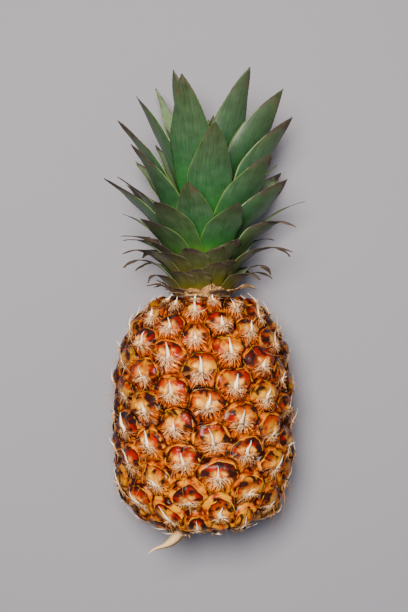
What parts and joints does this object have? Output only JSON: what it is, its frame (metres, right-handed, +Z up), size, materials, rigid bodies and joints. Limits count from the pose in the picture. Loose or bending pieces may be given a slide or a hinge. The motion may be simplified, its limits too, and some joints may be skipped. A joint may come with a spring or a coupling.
{
  "type": "pineapple",
  "caption": "Whole ripe pineapple lying on its side: barrel-shaped fruit with raised hexagonal eyes, spine-tipped bracts and a leafy crown.",
  "frame": {"origin": "on the surface the pineapple lies on, under the middle of its outer box", "axes": "+Z up, +Y along the fruit's level axis from the cut base to the crown, +X to the side"},
  "size_m": [0.1268, 0.3014, 0.116],
  "materials": {
    "pineapple_rind": "glossy orange-yellow and red-brown waxy rind with pale papery bracts and fibres",
    "green_leaf": "satin blue-green waxy leaf with a dull bloom and yellow-green margins",
    "dry_leaf": "matt straw-brown dried leaf",
    "stem_fibre": "matt pale fibrous stem"
  },
  "bodies": {
    "root": {"fruit": "pineapple_rind", "crown_stem": "stem_fibre", "cut_stalk": "stem_fibre", "dry_base_bract": "dry_leaf", "crown_leaf_01": "dry_leaf", "crown_leaf_02": "dry_leaf", "crown_leaf_03": "dry_leaf", "crown_leaf_04": "dry_leaf", "crown_leaf_05": "dry_leaf", "crown_leaf_06": "dry_leaf", "crown_leaf_07": "dry_leaf", "crown_leaf_08": "green_leaf", "crown_leaf_09": "green_leaf", "crown_leaf_10": "green_leaf", "crown_leaf_11": "green_leaf", "crown_leaf_12": "green_leaf", "crown_leaf_13": "green_leaf", "crown_leaf_14": "green_leaf", "crown_leaf_15": "green_leaf", "crown_leaf_16": "green_leaf", "crown_leaf_17": "green_leaf", "crown_leaf_18": "green_leaf", "crown_leaf_19": "green_leaf", "crown_leaf_20": "green_leaf", "crown_leaf_21": "green_leaf", "crown_leaf_22": "green_leaf", "crown_leaf_23": "green_leaf", "crown_leaf_24": "green_leaf", "crown_leaf_25": "green_leaf", "crown_leaf_26": "green_leaf", "crown_leaf_27": "green_leaf", "crown_leaf_28": "green_leaf", "crown_leaf_29": "green_leaf", "crown_leaf_30": "green_leaf", "crown_leaf_31": "green_leaf", "crown_leaf_32": "green_leaf", "crown_leaf_33": "green_leaf", "crown_leaf_34": "green_leaf", "crown_leaf_35": "green_leaf", "crown_leaf_36": "green_leaf", "crown_leaf_37": "green_leaf", "crown_leaf_38": "green_leaf", "crown_leaf_39": "green_leaf", "crown_leaf_40": "green_leaf", "crown_leaf_41": "green_leaf", "crown_leaf_42": "green_leaf", "crown_leaf_43": "green_leaf", "crown_leaf_44": "green_leaf", "crown_leaf_45": "green_leaf", "crown_leaf_46": "green_leaf", "crown_leaf_47": "green_leaf", "crown_leaf_48": "green_leaf", "crown_leaf_49": "green_leaf", "crown_leaf_50": "green_leaf", "crown_leaf_51": "green_leaf", "crown_leaf_52": "green_leaf", "crown_leaf_53": "green_leaf", "crown_leaf_54": "green_leaf", "crown_leaf_55": "green_leaf"}
  },
  "joints": []
}
